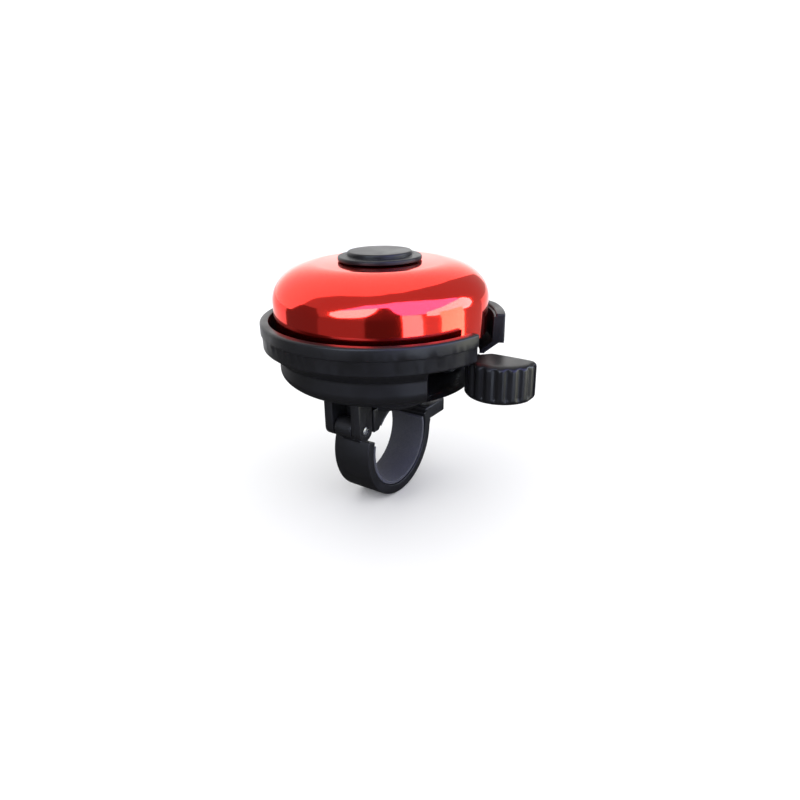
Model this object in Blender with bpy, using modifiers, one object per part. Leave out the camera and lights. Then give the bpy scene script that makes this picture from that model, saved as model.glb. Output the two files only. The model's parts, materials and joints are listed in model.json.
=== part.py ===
"""Bicycle bell with a thumb lever, a gear train and a spinning striker under a turned dome.

The handlebar runs along X, the rider sits on the -Y side and the bell stands up along Z.
The origin is the centre of the handlebar inside the clamp. All dimensions below are in
millimetres; the helpers convert them to Blender's metres.
"""
import math

import bmesh
import bpy
from mathutils import Matrix, Vector

MM = 0.001

# --- driving dimensions -----------------------------------------------------------------
BAR_R = 11.1              # handlebar, 22.2 mm in diameter
BAND_WIDTH = 11.0         # clamp band, along the handlebar
SEAT_R = 12.2             # saddle groove in the housing
BAND_R = (12.3, 14.8)     # inside and outside of the clamp band

RIM_Z = 34.5              # top of the housing's rim
RIM_R = 30.5
LEDGE_Z = 27.75           # underside of the rim
BOWL_CORNER = (26.3, 25.0)   # where the slope under the rim meets the bowl, radius and height
BOWL_CENTRE = (10.3, 22.0)   # centre of the elliptical section of the bowl's side
BOWL_BOTTOM_Z = 15.7
FLOOR_Z = 17.2            # inside of the bowl
PEDESTAL_R = 11.5         # foot between the bowl and the saddle
PEDESTAL_Z = 12.2
WELL_R = 9.0              # hollow in the floor for the centre post's flange
WELL_Z = 14.6
WINDOW_Z = 18.3
LEVER_GAP_DEG = (-8.0, 24.0)   # opening in the rim above the thumb pad

DOME_R = 27.0
DOME_TOP_Z = 48.1
DOME_SKIRT_Z = 30.8
DOME_WALL = 1.0
CAP_TOP_Z = 50.4

MODULE = 0.7              # gear train
SECTOR_TEETH = 36         # as if the lever's sector went all the way round
IDLER_PINION_TEETH = 10
IDLER_WHEEL_TEETH = 26
ROTOR_PINION_TEETH = 12
CENTRE_PLAY = 0.1         # added to each pair's centre distance

LEVER_PIVOT_R = 17.3      # distance of the lever's pivot from the bell's axis
LEVER_PIVOT_DEG = 48.0    # its direction, from +X towards +Y
LEVER_PLATE_Z = (21.5, 23.5)

PAD_CENTRE = (32.2, 4.0)  # thumb pad, a D with its flat back towards +Y
PAD_R = 8.9
PAD_BACK_Y = 6.0
PAD_Z = (18.0, 27.4)

HAMMER_R = 17.0           # hammer pins, from the bell's axis
STRIKER_DEG = 10.0        # rest direction of the striker plate
STRIKER_Z = (28.7, 30.2)
HINGE_Y, HINGE_Z = -15.2, 8.6
SCREW_Y = 18.4
LUG_END_Y = 23.0          # clamp lugs on the housing and on the band

TURN_STEPS = 48
SMALL_STEPS = 24

COLLECTION = "bicycle_bell"


def polar(radius, degrees, centre=(0.0, 0.0)):
    angle = math.radians(degrees)
    return (centre[0] + radius * math.cos(angle), centre[1] + radius * math.sin(angle))


def arc(radius, start, end, count, centre=(0.0, 0.0), radius_2=None):
    """Points on a circular or elliptical arc, in the plane of an outline or a profile."""
    second = radius if radius_2 is None else radius_2
    points = []
    for i in range(count + 1):
        angle = math.radians(start + (end - start) * i / count)
        points.append((centre[0] + radius * math.cos(angle), centre[1] + second * math.sin(angle)))
    return points


# --- layout of the gear train -----------------------------------------------------------
SECTOR_R = MODULE * SECTOR_TEETH / 2
IDLER_PINION_R = MODULE * IDLER_PINION_TEETH / 2
IDLER_WHEEL_R = MODULE * IDLER_WHEEL_TEETH / 2
ROTOR_PINION_R = MODULE * ROTOR_PINION_TEETH / 2
LEVER_TO_IDLER = SECTOR_R + IDLER_PINION_R + CENTRE_PLAY
IDLER_TO_ROTOR = IDLER_WHEEL_R + ROTOR_PINION_R + CENTRE_PLAY

LEVER_PIVOT = polar(LEVER_PIVOT_R, LEVER_PIVOT_DEG)
# The idler sits where its distances to the lever's pivot and to the bell's axis both hold.
_cosine = (LEVER_PIVOT_R ** 2 + IDLER_TO_ROTOR ** 2 - LEVER_TO_IDLER ** 2) / (
    2 * LEVER_PIVOT_R * IDLER_TO_ROTOR)
IDLER_DEG = LEVER_PIVOT_DEG + math.degrees(math.acos(_cosine))
IDLER = polar(IDLER_TO_ROTOR, IDLER_DEG)
SECTOR_MESH_DEG = math.degrees(math.atan2(IDLER[1] - LEVER_PIVOT[1], IDLER[0] - LEVER_PIVOT[0]))
ROTOR_MESH_DEG = IDLER_DEG + 180.0


# --- scene helpers ----------------------------------------------------------------------
def clear_scene():
    for obj in list(bpy.data.objects):
        bpy.data.objects.remove(obj, do_unlink=True)


def parts_collection():
    collection = bpy.data.collections.get(COLLECTION)
    if collection is None:
        collection = bpy.data.collections.new(COLLECTION)
        bpy.context.scene.collection.children.link(collection)
    return collection


def material(name, colour, roughness, metallic=0.0):
    found = bpy.data.materials.get(name)
    if found is None:
        found = bpy.data.materials.new(name)
        found.use_nodes = True
        shader = found.node_tree.nodes["Principled BSDF"]
        shader.inputs["Base Color"].default_value = (*colour, 1.0)
        shader.inputs["Roughness"].default_value = roughness
        shader.inputs["Metallic"].default_value = metallic
        found.diffuse_color = (*colour, 1.0)
    return found


def black_plastic():
    return material("black_plastic", (0.022, 0.023, 0.027), 0.42)


def lever_plastic():
    return material("lever_plastic", (0.017, 0.018, 0.021), 0.36)


def red_aluminium():
    return material("red_aluminium", (0.62, 0.018, 0.02), 0.14, 1.0)


def steel():
    return material("steel", (0.56, 0.57, 0.59), 0.30, 1.0)


def brass():
    return material("brass", (0.72, 0.52, 0.22), 0.32, 1.0)


def spring_steel():
    return material("spring_steel", (0.42, 0.42, 0.43), 0.34, 1.0)


def rubber():
    return material("rubber", (0.03, 0.03, 0.03), 0.80)


def white_nylon():
    return material("white_nylon", (0.82, 0.81, 0.77), 0.45)


def add_object(name, data):
    obj = bpy.data.objects.new(name, data)
    parts_collection().objects.link(obj)
    return obj


def baked(obj, sharp_deg=35.0):
    """Turn an object's modifiers, or its curve, into one welded and shaded mesh."""
    bpy.context.view_layer.update()
    evaluated = obj.evaluated_get(bpy.context.evaluated_depsgraph_get())
    mesh = bpy.data.meshes.new_from_object(evaluated)
    name, matrix = obj.name, obj.matrix_world.copy()
    bpy.data.objects.remove(obj, do_unlink=True)
    shape = bmesh.new()
    shape.from_mesh(mesh)
    bmesh.ops.remove_doubles(shape, verts=shape.verts, dist=2e-6)
    shape.to_mesh(mesh)
    shape.free()
    mesh.shade_smooth()
    mesh.set_sharp_from_angle(angle=math.radians(sharp_deg))
    result = add_object(name, mesh)
    result.matrix_world = matrix
    return result


def finished(obj, surface):
    obj.data.materials.clear()
    obj.data.materials.append(surface)
    return obj


def turned(name, profile, at=(0.0, 0.0), steps=SMALL_STEPS, ring=False):
    """Solid of revolution about the upright axis through `at`.

    The profile is a list of (radius, height) that runs down the outer side, top to bottom.
    A ring's profile closes on itself; any other starts and ends on the axis.
    """
    count = len(profile)
    edges = [(i, i + 1) for i in range(count - 1)] + ([(count - 1, 0)] if ring else [])
    mesh = bpy.data.meshes.new(name)
    mesh.from_pydata([(r * MM, 0.0, z * MM) for r, z in profile], edges, [])
    obj = add_object(name, mesh)
    obj.location = (at[0] * MM, at[1] * MM, 0.0)
    screw = obj.modifiers.new("turn", "SCREW")
    screw.steps = screw.render_steps = steps
    screw.use_merge_vertices = True
    screw.merge_threshold = 1e-6
    return baked(obj)


def washer(name, inner, outer, low, high, at=(0.0, 0.0)):
    return turned(name, [(inner, high), (outer, high), (outer, low), (inner, low)], at, ring=True)


def cylinder(radius, low, high, at=(0.0, 0.0), axis="Z", sides=SMALL_STEPS):
    """Cylinder from `low` to `high` along an axis; `at` is its place on the other two axes."""
    shape = bmesh.new()
    bmesh.ops.create_cone(shape, cap_ends=True, segments=sides, radius1=radius * MM,
                          radius2=radius * MM, depth=(high - low) * MM)
    mesh = bpy.data.meshes.new("cylinder")
    shape.to_mesh(mesh)
    shape.free()
    obj = add_object("cylinder", mesh)
    middle = (low + high) / 2 * MM
    if axis == "Z":
        obj.location = (at[0] * MM, at[1] * MM, middle)
    else:
        obj.rotation_euler = (0.0, math.pi / 2, 0.0)
        obj.location = (middle, at[0] * MM, at[1] * MM)
    return obj


def box(low, high, turn_deg=0.0, pivot=(0.0, 0.0)):
    """Box between two corners, then turned about the upright axis through `pivot`."""
    shape = bmesh.new()
    bmesh.ops.create_cube(shape, size=1.0)
    mesh = bpy.data.meshes.new("box")
    size = [(b - a) * MM for a, b in zip(low, high)]
    centre = Vector([(a + b) / 2 * MM for a, b in zip(low, high)])
    bmesh.ops.scale(shape, vec=size, verts=shape.verts)
    shape.to_mesh(mesh)
    shape.free()
    obj = add_object("box", mesh)
    hub = Matrix.Translation((pivot[0] * MM, pivot[1] * MM, 0.0))
    turn = Matrix.Rotation(math.radians(turn_deg), 4, "Z")
    obj.matrix_world = hub @ turn @ Matrix.Translation(centre)
    return obj


def plate(name, outlines, low, high, across=False, at=(0.0, 0.0)):
    """Flat piece: closed outlines (the first is the edge, the rest are holes) made thick.

    It lies in X-Y and runs from `low` to `high` in Z, or, when it is drawn across the
    handlebar, its outlines are in Y-Z and it runs along X. The outlines are relative to `at`.
    """
    curve = bpy.data.curves.new(name, "CURVE")
    curve.dimensions = "2D"
    curve.fill_mode = "BOTH"
    curve.extrude = (high - low) / 2 * MM
    for outline in outlines:
        spline = curve.splines.new("POLY")
        spline.points.add(len(outline) - 1)
        spline.use_cyclic_u = True
        for point, (x, y) in zip(spline.points, outline):
            point.co = (x * MM, y * MM, 0.0, 1.0)
    obj = add_object(name, curve)
    middle = (low + high) / 2 * MM
    if across:
        obj.rotation_euler = (math.pi / 2, 0.0, math.pi / 2)
        obj.location = (middle, at[0] * MM, at[1] * MM)
    else:
        obj.location = (at[0] * MM, at[1] * MM, middle)
    obj = baked(obj)
    if len(outlines) == 1:
        merge_cap_faces(obj)
    return obj


def merge_cap_faces(obj):
    """Make each flat end of a plate without holes one face, which Booleans cut cleanly."""
    shape = bmesh.new()
    shape.from_mesh(obj.data)
    inner = [edge for edge in shape.edges
             if all(abs(face.normal.z) > 0.9 for face in edge.link_faces)]
    bmesh.ops.dissolve_edges(shape, edges=inner, use_verts=False)
    shape.to_mesh(obj.data)
    shape.free()


def combine(target, operation, others):
    """Join other solids to a target, or cut them out of it, and drop them."""
    for other in others:
        step = target.modifiers.new(operation.lower(), "BOOLEAN")
        step.operation = operation
        step.object = other
    name = target.name
    result = baked(target)
    result.name = name
    for other in others:
        bpy.data.objects.remove(other, do_unlink=True)
    return result


def join(target, *others):
    return combine(target, "UNION", others)


def cut(target, *others):
    return combine(target, "DIFFERENCE", others)


def with_origin(obj, x, y, z=0.0):
    """Move an object's origin, such as onto its joint's axis, and leave its shape in place."""
    place = Matrix.Translation((x * MM, y * MM, z * MM))
    obj.data.transform(place.inverted() @ obj.matrix_world)
    obj.matrix_world = place
    return obj


# --- gear outlines ----------------------------------------------------------------------
def involute(angle):
    return math.tan(angle) - angle


def tooth_points(teeth, centre_deg, flank_steps=2):
    """One involute tooth, root to root, around the origin."""
    pitch_r = MODULE * teeth / 2
    base_r = pitch_r * math.cos(math.radians(20.0))
    tip_r = pitch_r + 0.80 * MODULE
    root_r = pitch_r - 1.15 * MODULE
    thickness = math.pi * MODULE / 2 - 0.14
    start_r = max(base_r, root_r)

    def half_angle(radius):
        pressure = math.acos(min(1.0, base_r / radius))
        return thickness / 2 / pitch_r + involute(math.radians(20.0)) - involute(pressure)

    radii = [start_r + (tip_r - start_r) * i / flank_steps for i in range(flank_steps + 1)]
    flank = [(radius, half_angle(radius)) for radius in radii]
    if root_r < start_r:
        flank.insert(0, (root_r, half_angle(start_r)))
    centre = math.radians(centre_deg)
    rising = [(r * math.cos(centre - a), r * math.sin(centre - a)) for r, a in flank]
    falling = [(r * math.cos(centre + a), r * math.sin(centre + a)) for r, a in reversed(flank)]
    return rising + falling


def gear_outline(teeth, first_deg):
    points = []
    for i in range(teeth):
        points += tooth_points(teeth, first_deg + 360.0 * i / teeth)
    return points


# --- housing ----------------------------------------------------------------------------
def housing_shell():
    centre_r, centre_z = BOWL_CENTRE
    outside = [(28.5, RIM_Z), (30.0, RIM_Z), (30.4, RIM_Z - 0.2), (RIM_R, RIM_Z - 0.6),
               (RIM_R, 31.6), (30.2, 31.4), (30.1, 28.1), (29.8, LEDGE_Z), BOWL_CORNER]
    outside += arc(BOWL_CORNER[0] - centre_r, 0, -85, 7, centre=BOWL_CENTRE,
                   radius_2=centre_z - BOWL_BOTTOM_Z)
    outside += [(PEDESTAL_R, PEDESTAL_Z), (0.0, PEDESTAL_Z)]
    inside = [(0.0, WELL_Z), (WELL_R, WELL_Z), (WELL_R + 0.6, FLOOR_Z)]
    inside += arc(14.8, -75, 0, 4, centre=BOWL_CENTRE, radius_2=centre_z - FLOOR_Z)
    inside += [(25.1, 25.6), (28.2, 28.0), (28.2, RIM_Z - 0.3)]
    profile = outside + inside
    first = profile.index((0.0, WELL_Z))
    profile = profile[first:] + profile[:first]
    return turned("base_housing", profile, steps=TURN_STEPS)


def window_outline():
    """Opening for the lever: a straight side towards the rider, then round to beyond the swing."""
    across = Vector((math.cos(math.radians(36.0)), math.sin(math.radians(36.0))))
    along = Vector((-across.y, across.x))
    near, far = (across * 10.0 - along * 34.0), (across * 10.0 - along * 19.5)
    return [tuple(far), tuple(near), (34.0, -22.0), (42.0, 0.0)]


def low_window_outline():
    """The arm's opening runs on below the rim to where the lever's full swing ends."""
    return window_outline() + [polar(40.0, 40.0), polar(34.0, 51.0), polar(19.5, 51.0),
                               polar(21.0, 10.0)]


def high_window_outline():
    end = LEVER_GAP_DEG[1]
    return window_outline() + [polar(40.0, end), polar(21.0, end)]


def notch_outline():
    start, end = LEVER_GAP_DEG
    return arc(33.0, start, end, 6) + [polar(24.0, end), polar(24.0, start)]


def end_stop():
    """Thicker and taller stretch of the rim beyond the opening."""
    end = LEVER_GAP_DEG[1]
    outline = [polar(28.9, end)] + arc(31.25, end, end + 24.0, 4) + [
        polar(30.2, end + 38.0), polar(28.9, end + 38.0)]
    return plate("end_stop", [outline], LEDGE_Z, RIM_Z + 0.7)


def base_housing():
    half = BAND_WIDTH / 2
    body = housing_shell()
    saddle = box((-half, -11.9, 7.0), (half, 11.9, 13.2))
    screw_lug = box((-half, 11.0, 7.5), (half, LUG_END_Y, 16.5))
    knuckle_outline = arc(2.6, 180, 360, 10, centre=(HINGE_Y, HINGE_Z))
    knuckle_outline += [(HINGE_Y + 2.6, 16.4), (HINGE_Y - 2.6, 16.4)]
    knuckles = [plate("knuckle", [knuckle_outline], low, high, across=True)
                for low, high in ((-half, -2.9), (2.9, half))]
    lever_boss = cylinder(3.0, 17.15, 21.2, LEVER_PIVOT)
    idler_boss = cylinder(2.6, 16.2, 20.7, IDLER)
    spring_peg = cylinder(1.0, 16.0, 20.9, SPRING_PEG, sides=16)
    body = join(body, saddle, screw_lug, *knuckles, lever_boss, idler_boss, spring_peg,
                end_stop())
    return finished(cut(
        body,
        cylinder(SEAT_R, -20.0, 20.0, axis="X", sides=TURN_STEPS),
        plate("low_window", [low_window_outline()], WINDOW_Z, BOWL_CORNER[1] - 0.1),
        plate("high_window", [high_window_outline()], WINDOW_Z, 27.6),
        plate("notch", [notch_outline()], 27.3, 36.0),
        cylinder(2.7, 10.0, 16.0),
        cylinder(4.2, 10.0, 13.4),
        cylinder(1.12, -8.0, 8.0, (HINGE_Y, HINGE_Z), axis="X", sides=24),
        cylinder(1.8, 5.0, 13.4, (0.0, SCREW_Y), sides=24),
        box((-2.9, SCREW_Y - 3.4, 9.7), (2.9, LUG_END_Y + 1.0, 12.4)),
        cylinder(1.4, 17.6, 23.0, LEVER_PIVOT, sides=24),
        cylinder(1.15, 17.0, 23.0, IDLER, sides=24),
    ), black_plastic())


def saddle_pad():
    outline = arc(12.0, 42, 138, 16) + arc(BAR_R + 0.1, 138, 42, 16)
    return finished(plate("saddle_pad", [outline], -5.2, 5.2, across=True), rubber())


# --- centre post, dome and cap ----------------------------------------------------------
def center_post():
    profile = [(0, 49.0), (1.35, 49.0), (1.75, 48.5), (1.75, 30.95), (2.0, 30.95), (2.0, 24.4),
               (3.0, 24.4), (3.0, 16.0), (5.0, 16.0), (5.0, 14.8), (2.5, 14.8), (2.5, 13.2),
               (3.8, 13.2), (3.5, 12.6), (2.6, 12.4), (0, 12.4)]
    return finished(turned("center_post", profile), steel())


def hex_nut(name, flats, hole, low, high, at):
    """Nut with two of its flats facing along X."""
    corners = arc(flats / math.sqrt(3), 30, 330, 5)
    body = plate(name, [corners, arc(hole, 0, 360 - 15, 23)], low, high, at=at)
    return finished(body, steel())


def dome_spacer():
    profile = [(3.75, 46.2), (5.0, 46.2), (5.0, 33.35), (1.95, 33.35), (1.95, 43.2), (3.75, 43.2)]
    return finished(turned("dome_spacer", profile, ring=True), white_nylon())


def dome_profile(inset):
    """Outer side of the dome from the top edge of its hole down to the skirt, moved inwards."""
    shoulder = arc(DOME_R - 15.5 - inset, 90, 0, 8, centre=(15.5, 39.0),
                   radius_2=DOME_TOP_Z - 39.0 - inset)
    return [(3.75, DOME_TOP_Z - inset)] + shoulder + [(DOME_R - 0.2 - inset, DOME_SKIRT_Z)]


def dome():
    profile = dome_profile(0.0) + dome_profile(DOME_WALL)[::-1]
    shell = turned("dome", profile, steps=TURN_STEPS, ring=True)
    ribs = [box((23.5, -1.5, 31.9), (26.4, 1.5, 38.5), turn_deg=turn) for turn in (65.0, 245.0)]
    return finished(join(shell, *ribs), red_aluminium())


def cap_nut():
    profile = [(0, CAP_TOP_Z), (7.2, CAP_TOP_Z), (7.8, CAP_TOP_Z - 0.2), (8.0, CAP_TOP_Z - 0.6),
               (8.0, 49.5), (8.2, 49.3), (10.0, 49.3), (10.4, 48.95), (10.4, 48.3), (7.3, 48.3),
               (7.3, 48.9), (3.5, 48.9), (3.5, 43.5), (1.95, 43.5), (1.95, 49.2), (0, 49.2)]
    return finished(turned("cap_nut", profile, steps=40), black_plastic())


# --- lever ------------------------------------------------------------------------------
def sector_outline():
    """The sector's teeth, from the last in mesh at full swing to one past the rest position."""
    step = 360.0 / SECTOR_TEETH
    teeth = []
    for i in range(-4, 2):
        teeth += tooth_points(SECTOR_TEETH, SECTOR_MESH_DEG + i * step)
    return teeth


def lever_plate():
    """Flat steel lever: sector teeth on one side of the hub and the pad's arm on the other."""
    hub_x, hub_y = LEVER_PIVOT
    arm = [(24.5, 6.6), (26.7, 6.6), (26.7, 1.1), (33.9, 1.1), (33.9, 6.6), (29.5, 10.0)]
    arm = [(x - hub_x, y - hub_y) for x, y in arm]
    outline = sector_outline() + arc(4.2, 215, 255, 3) + arm + arc(4.2, 65, 105, 3)
    hole = arc(2.1, 0, 360 - 12, 29)
    obj = plate("lever_plate", [outline, hole], *LEVER_PLATE_Z, at=LEVER_PIVOT)
    return finished(obj, steel())


def pad_outline():
    """D with its inner back corner cut away, to clear the rim's slope at full swing."""
    edge_deg = math.degrees(math.asin((PAD_BACK_Y - PAD_CENTRE[1]) / PAD_R))
    return arc(PAD_R, 200, 360 + edge_deg, 26, centre=PAD_CENTRE) + [(28.6, PAD_BACK_Y)]


def thumb_pad():
    """D-shaped pad with rounded edges, grip grooves round its front and a pocket for the arm."""
    body = plate("thumb_pad", [pad_outline()], *PAD_Z)
    bevel = body.modifiers.new("rounding", "BEVEL")
    bevel.width = 0.9 * MM
    bevel.segments = 3
    bevel.limit_method = "ANGLE"
    bevel.angle_limit = math.radians(50.0)
    body = baked(body)
    grooves = [cylinder(0.6, PAD_Z[0] - 1, PAD_Z[1] - 1.3, polar(PAD_R + 0.25, turn, PAD_CENTRE),
                        sides=10)
               for turn in range(205, 361, 19)]
    pocket = box((26.4, 0.8, LEVER_PLATE_Z[0] - 0.2), (34.2, 8.0, LEVER_PLATE_Z[1] + 0.2))
    return finished(with_origin(cut(body, pocket, *grooves), *LEVER_PIVOT), lever_plastic())


def lever_pivot_screw():
    profile = [(0, 25.3), (2.6, 25.3), (3.4, 24.8), (3.4, 24.1), (2.0, 24.1), (2.0, 21.35),
               (1.2, 21.35), (1.2, 18.4), (0.6, 17.9), (0, 17.9)]
    screw = turned("lever_pivot_screw", profile, LEVER_PIVOT)
    cross = [box((-2.0, -0.35, 24.5), (2.0, 0.35, 26.0), turn, LEVER_PIVOT) for turn in (20, 110)]
    return finished(cut(screw, *cross), steel())


SPRING_R = 4.1
SPRING_WIRE = 0.6
SPRING_START_DEG = -81.0
SPRING_END_DEG = -56.0 + 2 * 360.0
SPRING_Z = (19.55, 20.85)
SPRING_PEG = polar(7.0, -116.0, LEVER_PIVOT)


def lever_return_spring():
    """Torsion spring round the pivot boss: one leg on the peg, one hooked on the arm's far side."""
    start = polar(SPRING_R, SPRING_START_DEG)
    end = polar(SPRING_R, SPRING_END_DEG)
    fixed_leg = Vector(polar(1.0, SPRING_START_DEG - 90.0))
    lever_leg = Vector(polar(1.0, SPRING_END_DEG + 90.0))
    points = [(start[0] + fixed_leg.x * 5.2, start[1] + fixed_leg.y * 5.2, SPRING_Z[0])]
    coils = 30
    for i in range(coils + 1):
        turn = SPRING_START_DEG + (SPRING_END_DEG - SPRING_START_DEG) * i / coils
        height = SPRING_Z[0] + (SPRING_Z[1] - SPRING_Z[0]) * i / coils
        points.append((*polar(SPRING_R, turn), height))
    tip = (end[0] + lever_leg.x * 8.4, end[1] + lever_leg.y * 8.4)
    points += [(*tip, SPRING_Z[1]), (*tip, LEVER_PLATE_Z[1] - 0.2)]
    curve = bpy.data.curves.new("lever_return_spring", "CURVE")
    curve.dimensions = "3D"
    curve.bevel_depth = SPRING_WIRE / 2 * MM
    curve.bevel_resolution = 1
    curve.use_fill_caps = True
    spline = curve.splines.new("POLY")
    spline.points.add(len(points) - 1)
    for point, (x, y, z) in zip(spline.points, points):
        point.co = (x * MM, y * MM, z * MM, 1.0)
    obj = add_object("lever_return_spring", curve)
    obj.location = (LEVER_PIVOT[0] * MM, LEVER_PIVOT[1] * MM, 0.0)
    return finished(baked(obj, 60.0), spring_steel())


# --- idler and rotor --------------------------------------------------------------------
def idler_gear():
    """Compound gear: the pinion meets the lever's sector, the wheel above drives the rotor."""
    pinion_deg = SECTOR_MESH_DEG + 180.0 + 180.0 / IDLER_PINION_TEETH
    pinion = plate("pinion", [gear_outline(IDLER_PINION_TEETH, pinion_deg)], 21.0, 25.4, at=IDLER)
    wheel = plate("idler_gear", [gear_outline(IDLER_WHEEL_TEETH, ROTOR_MESH_DEG)], 25.2, 27.0,
                  at=IDLER)
    gear = cut(join(wheel, pinion), cylinder(1.1, 20.0, 28.0, IDLER, sides=24))
    return finished(with_origin(gear, *IDLER), white_nylon())


def idler_pin():
    profile = [(0, 28.2), (0.8, 28.2), (1.0, 28.0), (1.0, 27.75), (0.75, 27.75), (0.75, 27.25),
               (1.0, 27.25), (1.0, 17.5), (0.7, 17.3), (0, 17.3)]
    return finished(turned("idler_pin", profile, IDLER, steps=24), steel())


def idler_clip():
    outline = arc(2.1, 40, 320, 16) + arc(0.88, 320, 40, 12)
    return finished(plate("idler_clip", [outline], 27.3, 27.7, at=IDLER), spring_steel())


def rotor_pinion():
    """Pinion with a round hub and a square drive for the striker plate, free on the post."""
    first_deg = ROTOR_MESH_DEG + 180.0 + 180.0 / ROTOR_PINION_TEETH
    teeth = plate("rotor_pinion", [gear_outline(ROTOR_PINION_TEETH, first_deg)], 25.1, 27.3)
    hub = cylinder(3.9, 27.1, 28.55)
    drive = box((-2.6, -2.6, 28.3), (2.6, 2.6, 30.75), STRIKER_DEG)
    gear = cut(join(teeth, hub, drive), cylinder(2.1, 24.0, 32.0))
    return finished(with_origin(gear, 0.0, 0.0), brass())


def striker_plate():
    """Bar that carries a hammer pin at each end, on the pinion's square drive."""
    side = math.degrees(math.asin(3.6 / 6.5))
    end = arc(3.6, -90, 90, 10, centre=(HAMMER_R, 0.0))
    waist = arc(6.5, side, 180 - side, 8)
    half = end + waist
    outline = half + [(-x, -y) for x, y in half]
    square = [(-2.75, -2.75), (2.75, -2.75), (2.75, 2.75), (-2.75, 2.75)]
    holes = [arc(1.4, 0, 360 - 24, 14, centre=(x, 0.0)) for x in (HAMMER_R, -HAMMER_R)]
    obj = plate("striker_plate", [outline, square, *holes], *STRIKER_Z)
    obj.rotation_euler.z = math.radians(STRIKER_DEG)
    bpy.context.view_layer.update()
    return finished(with_origin(obj, 0.0, 0.0), steel())


def hammer_place(side):
    return polar(HAMMER_R, STRIKER_DEG + (0.0 if side == "a" else 180.0))


def hammer_pin(side):
    profile = [(0, 35.7), (2.9, 35.7), (3.2, 35.4), (3.2, 34.75), (1.5, 34.75), (1.5, 31.7),
               (3.2, 31.7), (3.2, 30.4), (1.25, 30.4), (1.25, 28.55), (2.1, 28.55), (2.1, 28.0),
               (0, 28.0)]
    pin = turned("hammer_pin_" + side, profile, hammer_place(side), steps=24)
    return finished(with_origin(pin, 0.0, 0.0), steel())


def hammer_washer(side):
    disc = turned("hammer_washer_" + side,
                  [(2.4, 34.4), (5.4, 34.4), (5.6, 34.2), (5.6, 32.1), (5.4, 31.9), (2.4, 31.9)],
                  hammer_place(side), ring=True)
    return finished(disc, steel())


# --- handlebar clamp --------------------------------------------------------------------
def clamp_band():
    """Strap round the bar: a hinge knuckle on the rider's side and a screw lug on the other."""
    half = BAND_WIDTH / 2
    inner, outer = BAND_R
    strap = plate("clamp_band", [arc(inner, 160, 378, 36) + arc(outer, 378, 160, 36)],
                  -half, half, across=True)
    neck = [polar(12.45, 163), polar(12.45, 156), (-14.2, 10.2), (-17.2, 7.0), polar(14.7, 163)]
    neck = plate("neck", [neck], -2.6, 2.6, across=True)
    knuckle = cylinder(2.6, -2.6, 2.6, (HINGE_Y, HINGE_Z), axis="X")
    lug = box((-half, 12.9, 1.0), (half, LUG_END_Y, 5.0))
    slot = plate("slot", [arc(1.85, -180, 0, 8, centre=(0.0, SCREW_Y - 0.3))
                          + arc(1.85, 0, 180, 8, centre=(0.0, SCREW_Y + 0.9))], -1.0, 7.0)
    bore = cylinder(1.15, -8.0, 8.0, (HINGE_Y, HINGE_Z), axis="X", sides=24)
    band = cut(join(strap, neck, knuckle, lug), bore, slot)
    return finished(with_origin(band, 0.0, HINGE_Y, HINGE_Z), black_plastic())


def band_liner():
    outline = arc(12.1, 166, 374, 34) + arc(BAR_R + 0.1, 374, 166, 34)
    liner = plate("band_liner", [outline], -5.2, 5.2, across=True)
    return finished(with_origin(liner, 0.0, HINGE_Y, HINGE_Z), rubber())


def band_hinge_pin():
    pin = cylinder(1.0, -5.4, 5.4, (HINGE_Y, HINGE_Z), axis="X", sides=24)
    pin.name = "band_hinge_pin"
    return finished(baked(pin), steel())


def clamp_screw():
    profile = [(0, 12.9), (1.1, 12.9), (1.5, 12.5), (1.5, 0.05), (2.8, 0.05), (2.8, -1.0),
               (2.2, -2.0), (1.2, -2.2), (0, -2.2)]
    screw = turned("clamp_screw", profile, (0.0, SCREW_Y))
    cross = [box((-1.8, SCREW_Y - 0.35, -3.0), (1.8, SCREW_Y + 0.35, -1.0)),
             box((-0.35, SCREW_Y - 1.8, -3.0), (0.35, SCREW_Y + 1.8, -1.0))]
    return finished(cut(screw, *cross), steel())


def build():
    clear_scene()
    base_housing()
    saddle_pad()
    center_post()
    finished(washer("thrust_washer", 2.15, 3.4, 24.5, 24.95), white_nylon())
    hex_nut("rotor_nut", 7.0, 1.9, 31.0, 33.2, (0.0, 0.0))
    dome_spacer()
    finished(washer("dome_washer_lower", 3.75, 6.6, 46.35, 46.95), rubber())
    dome()
    finished(washer("dome_washer_upper", 3.75, 7.0, 48.25, 48.75), rubber())
    cap_nut()
    lever_plate()
    thumb_pad()
    lever_pivot_screw()
    finished(washer("lever_washer", 2.15, 3.6, 23.65, 23.95, LEVER_PIVOT), steel())
    lever_return_spring()
    idler_gear()
    idler_pin()
    idler_clip()
    rotor_pinion()
    striker_plate()
    for side in ("a", "b"):
        hammer_pin(side)
        hammer_washer(side)
    clamp_band()
    band_liner()
    band_hinge_pin()
    clamp_screw()
    finished(washer("clamp_washer", 1.65, 3.2, 0.25, 0.75, (0.0, SCREW_Y)), steel())
    hex_nut("clamp_nut", 5.5, 1.6, 9.9, 12.1, (0.0, SCREW_Y))


build()
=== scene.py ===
"""Looks of the bicycle bell: a finely modelled piece for every CAD node, its materials, the
stage, the lights and the camera. Lengths are in millimetres; helpers convert them to metres.
"""
import json
import math

import bmesh
import bpy
from mathutils import Matrix, Vector

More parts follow.
